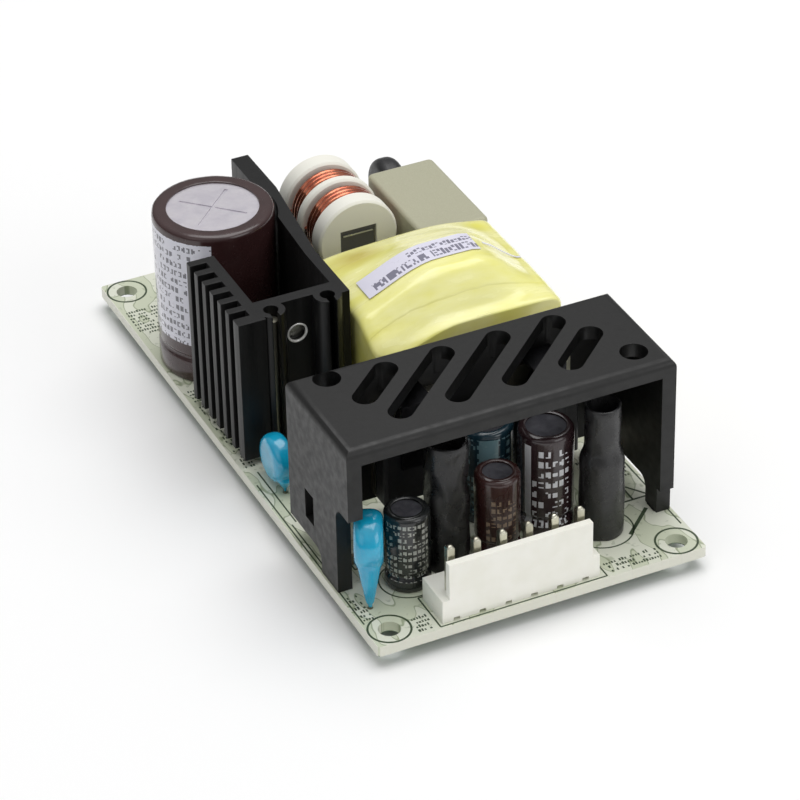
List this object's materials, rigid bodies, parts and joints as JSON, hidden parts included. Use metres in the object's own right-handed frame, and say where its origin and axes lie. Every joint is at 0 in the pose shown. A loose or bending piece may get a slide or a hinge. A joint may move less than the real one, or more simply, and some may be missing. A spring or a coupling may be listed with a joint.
{
  "type": "open frame power supply",
  "caption": "Open frame power supply board with a slotted black bracket, finned heatsink, yellow taped transformer and white header.",
  "frame": {"origin": "centre of the four mounting holes, on the underside of the board", "axes": "+Z from the board up to the tall parts, +Y from the output header to the input header, +X to the right seen from the output header"},
  "size_m": [0.0508, 0.1016, 0.0296],
  "materials": {
    "board_laminate": "satin pale laminate with a darker print and gold-coloured rings",
    "bracket_black": "satin black",
    "heatsink_black": "satin black anodised",
    "sleeve_brown": "glossy shrunk sleeve with a pale label field",
    "sleeve_black": "glossy shrunk sleeve with pale print fields",
    "sleeve_dark_brown": "glossy shrunk sleeve",
    "sleeve_teal": "glossy shrunk sleeve",
    "can_aluminium": "bare satin can",
    "tinned_metal": "tinned",
    "screw_steel": "zinc plated",
    "package_black": "matt moulded",
    "pad_grey": "matt sheet",
    "bobbin_cream": "satin moulded",
    "ferrite": "matt dark grey",
    "copper_enamel": "glossy enamelled wire",
    "box_grey": "satin moulded",
    "disc_blue": "glossy dipped coating",
    "coat_black": "matt dipped coating",
    "tape_yellow": "thin glossy film tape with a white label",
    "bobbin_black": "matt moulded",
    "header_white": "satin moulded",
    "sleeve_shrunk": "satin heat-shrunk tube",
    "coupler_white": "matt moulded",
    "film_red": "satin moulded",
    "resistor_tan": "lacquered, with colour bands",
    "chip_part": "matt"
  },
  "bodies": {
    "root": {"auxiliary_capacitor_can": "can_aluminium", "auxiliary_capacitor_sleeve": "sleeve_black", "black_capacitor_can": "can_aluminium", "black_capacitor_sleeve": "sleeve_black", "bridge_rectifier": "package_black", "brown_capacitor_can": "can_aluminium", "brown_capacitor_sleeve": "sleeve_dark_brown", "chip_parts": "chip_part", "choke_bobbin": "bobbin_cream", "choke_core": "ferrite", "choke_pins": "tinned_metal", "choke_winding_front": "copper_enamel", "choke_winding_rear": "copper_enamel", "circuit_board": "board_laminate", "control_chip": "package_black", "diodes": "package_black", "disc_capacitor_front": "disc_blue", "disc_capacitor_rear": "disc_blue", "film_capacitor": "film_red", "fuse": "coat_black", "heatsink_pins": "tinned_metal", "input_header": "header_white", "input_pins": "tinned_metal", "optocoupler": "coupler_white", "output_bracket": "bracket_black", "output_header": "header_white", "output_pins": "tinned_metal", "primary_heatsink": "heatsink_black", "rectifier_clips": "screw_steel", "rectifier_left_body": "package_black", "rectifier_left_tab": "tinned_metal", "rectifier_right_body": "package_black", "rectifier_right_tab": "tinned_metal", "reservoir_can": "can_aluminium", "reservoir_sleeve": "sleeve_brown", "resistors": "resistor_tan", "rod_choke_left": "ferrite", "rod_choke_right": "ferrite", "rod_sleeve_left": "sleeve_shrunk", "rod_sleeve_right": "sleeve_shrunk", "suppression_capacitor": "box_grey", "tall_capacitor_can": "can_aluminium", "tall_capacitor_sleeve": "sleeve_dark_brown", "teal_capacitor_can": "can_aluminium", "teal_capacitor_sleeve": "sleeve_teal", "thermistor": "coat_black", "transformer_base": "bobbin_black", "transformer_core_front": "ferrite", "transformer_core_rear": "ferrite", "transformer_former": "bobbin_black", "transformer_pins": "tinned_metal", "transformer_tape": "tape_yellow", "transformer_winding": "copper_enamel", "transistor_body": "package_black", "transistor_pad": "pad_grey", "transistor_screw": "screw_steel", "transistor_tab": "tinned_metal", "varistor": "disc_blue", "voltage_reference": "package_black"}
  },
  "joints": []
}
